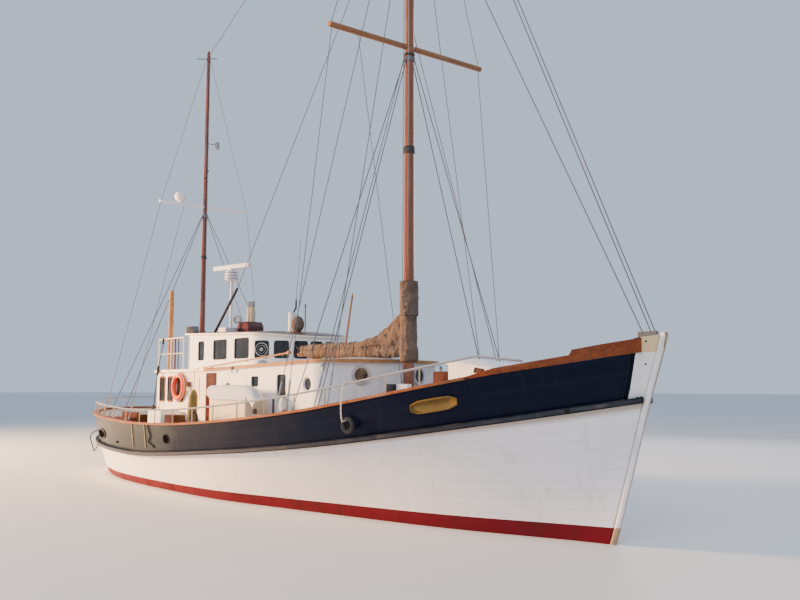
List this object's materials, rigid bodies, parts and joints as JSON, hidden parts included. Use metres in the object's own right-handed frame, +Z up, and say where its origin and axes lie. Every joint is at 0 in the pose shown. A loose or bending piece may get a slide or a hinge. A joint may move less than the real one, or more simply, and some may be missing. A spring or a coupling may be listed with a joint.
{
  "type": "fishing trawler",
  "caption": "Wooden two-masted fishing trawler afloat, with wheelhouse, deckhouse, boom and furled sail, rudder, propeller and opening doors.",
  "frame": {"origin": "amidships on the centreline, at the waterline", "axes": "+X towards the bow, +Y to port, +Z up"},
  "size_m": [20.0778, 5.75, 19.27],
  "materials": {
    "white_paint": "semi-gloss white marine paint",
    "cream_paint": "satin cream marine paint",
    "navy_paint": "glossy navy marine paint, weathered",
    "antifouling": "matt dark red antifouling",
    "mahogany": "varnished mahogany",
    "honey_wood": "varnished pine",
    "teak": "bare laid deck planking",
    "black_iron": "black painted iron",
    "gilt": "gilt wood",
    "sailcloth": "brown tanned sailcloth",
    "galvanised": "galvanised steel wire and tube",
    "bronze": "propeller bronze",
    "orange": "orange covered life ring",
    "tyre_rubber": "old tyre rubber",
    "white_rubber": "white coated tender fabric"
  },
  "bodies": {
    "root": {"hull_bottom": "antifouling", "hull_topsides_aft": "white_paint", "hull_topsides_mid": "white_paint", "hull_topsides_fore": "white_paint", "stem_post": "honey_wood", "bulwark": "navy_paint", "bow_panel": "white_paint", "rub_strake": "black_iron", "cap_rail": "honey_wood", "wash_strake_starboard": "mahogany", "wash_strake_port": "mahogany", "deck_aft": "teak", "deck_mid": "teak", "deck_fore": "teak", "name_board_starboard": "gilt", "name_board_port": "gilt", "rudder_heel": "antifouling", "deckhouse_walls": "white_paint", "aft_house_end": "cream_paint", "aft_house_walls": "cream_paint", "house_roof": "honey_wood", "wheelhouse_walls": "white_paint", "wheelhouse_roof": "mahogany", "companion": "white_paint", "companion_rail": "mahogany", "windlass": "black_iron", "main_mast": "honey_wood", "main_crosstree": "honey_wood", "mizzen_mast": "mahogany", "mizzen_crosstree": "white_paint", "radar_post": "white_paint", "exhaust": "mahogany", "roof_box": "black_iron", "searchlight": "sailcloth", "upper_rail": "white_paint", "yellow_post": "honey_wood", "locker": "white_paint", "stern_bench": "mahogany", "life_ring": "orange", "capstan": "black_iron", "bitts_bow_starboard": "black_iron", "bitts_bow_port": "black_iron", "bitts_stern_starboard": "black_iron", "bitts_stern_port": "black_iron", "tender": "white_rubber", "handrail": "galvanised", "main_shrouds": "galvanised", "mizzen_shrouds": "galvanised", "stays": "galvanised", "tyre_fender": "tyre_rubber"},
    "rudder": {"rudder": "antifouling"},
    "propeller": {"propeller": "bronze"},
    "door_starboard": {"door_starboard": "mahogany"},
    "door_port": {"door_port": "mahogany"},
    "door_aft": {"door_aft": "mahogany"},
    "companion_door": {"companion_door": "mahogany"},
    "windlass_drum": {"windlass_drum": "galvanised"},
    "boom": {"boom": "honey_wood", "furled_sail": "sailcloth"},
    "radar_scanner": {"radar_scanner": "white_paint"}
  },
  "joints": [
    {"name": "rudder_turn", "type": "hinge", "parent": "root", "child": "rudder", "pos_m": [-8.55, 0, -1.4], "axis": [0, 0, 1], "range_deg": [-35, 35]},
    {"name": "propeller_spin", "type": "hinge", "parent": "root", "child": "propeller", "pos_m": [-7.85, 0, -1.5], "axis": [1, 0, 0], "continuous": true},
    {"name": "boom_swing", "type": "hinge", "parent": "root", "child": "boom", "pos_m": [3.75, 0, 3.33], "axis": [0, 0, 1], "range_deg": [-85, 55]},
    {"name": "door_starboard_hinge", "type": "hinge", "parent": "root", "child": "door_starboard", "pos_m": [-2.174, -1.62, 2], "axis": [0, 0, 1], "range_deg": [-110, 0]},
    {"name": "door_port_hinge", "type": "hinge", "parent": "root", "child": "door_port", "pos_m": [-2.174, 1.62, 2], "axis": [0, 0, 1], "range_deg": [0, 110]},
    {"name": "door_aft_hinge", "type": "hinge", "parent": "root", "child": "door_aft", "pos_m": [-5.35, 0.949, 2], "axis": [0, 0, 1], "range_deg": [-110, 0]},
    {"name": "companion_door_hinge", "type": "hinge", "parent": "root", "child": "companion_door", "pos_m": [5.5, 0.318, 2.3], "axis": [0, 0, 1], "range_deg": [-110, 0]},
    {"name": "windlass_spin", "type": "hinge", "parent": "root", "child": "windlass_drum", "pos_m": [8, 0, 2.38755], "axis": [0, 1, 0], "continuous": true},
    {"name": "radar_spin", "type": "hinge", "parent": "root", "child": "radar_scanner", "pos_m": [-3.2, -0.42, 5.62], "axis": [0, 0, 1], "continuous": true}
  ]
}
